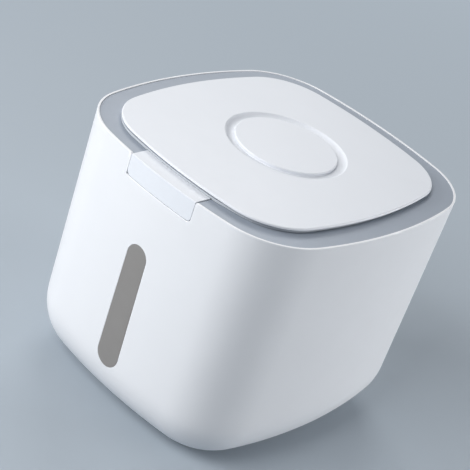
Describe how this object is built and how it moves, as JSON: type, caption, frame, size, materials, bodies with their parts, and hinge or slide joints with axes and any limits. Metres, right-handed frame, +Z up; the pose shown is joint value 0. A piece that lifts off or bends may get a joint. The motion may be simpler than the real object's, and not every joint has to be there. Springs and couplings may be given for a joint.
{
  "type": "rice storage bin",
  "caption": "Upright rounded rice bin with a sprung flip lid, press latch in the rim, level window in the front wall and a twist-off drying chamber cap under the lid.",
  "frame": {"origin": "on the ground under the middle of the rim", "axes": "+Z up, -Y towards the latch and window at the front, +Y towards the lid hinge, +X to the right of someone facing the rear"},
  "size_m": [0.25, 0.2728, 0.2264],
  "materials": {
    "white_body": "satin moulded white, fine grain",
    "smoke_window": "frosted smoke-grey clear plastic",
    "silicone": "soft translucent silicone",
    "grey_frame": "matte blue-grey moulding",
    "white_lid": "satin moulded white",
    "grey_under_lid": "satin moulded light grey",
    "steel": "plated steel",
    "grey_cap": "matte pale grey moulding",
    "spring_steel": "drawn spring wire",
    "white_latch": "satin moulded white",
    "foot_rubber": "soft grey rubber"
  },
  "bodies": {
    "case": {"bin_body": "white_body", "window_lens": "smoke_window", "window_gasket": "silicone", "top_frame": "grey_frame", "frame_seal": "silicone", "hinge_pin_left": "steel", "hinge_pin_right": "steel", "torsion_spring_left": "spring_steel", "torsion_spring_right": "spring_steel", "latch_spring_left": "spring_steel", "latch_spring_right": "spring_steel", "foot_front_left": "foot_rubber", "foot_front_right": "foot_rubber", "foot_rear_left": "foot_rubber", "foot_rear_right": "foot_rubber"},
    "lid": {"lid_panel": "white_lid", "lid_base": "grey_under_lid", "chamber_ring": "grey_under_lid", "lid_seal": "silicone", "lid_screws": "steel"},
    "latch": {"latch_button": "white_latch"},
    "drying_cap": {"vent_cap": "grey_cap"}
  },
  "joints": [
    {"name": "lid_hinge", "type": "hinge", "parent": "case", "child": "lid", "pos_m": [0, 0.1115, 0.2222], "axis": [-1, 0, 0], "range_deg": [0, 100], "deforming": ["torsion_spring_left", "torsion_spring_right"]},
    {"name": "latch_press", "type": "slide", "parent": "case", "child": "latch", "axis": [0, 1, 0], "range_m": [0, 0.003], "stiffness_N_per_m": 800, "springref_m": -0.003, "deforming": ["latch_spring_left", "latch_spring_right"]},
    {"name": "vent_cap_twist", "type": "hinge", "parent": "lid", "child": "drying_cap", "pos_m": [0, 0.0043, 0.2106], "axis": [0, 0, 1], "range_deg": [0, 42]}
  ]
}
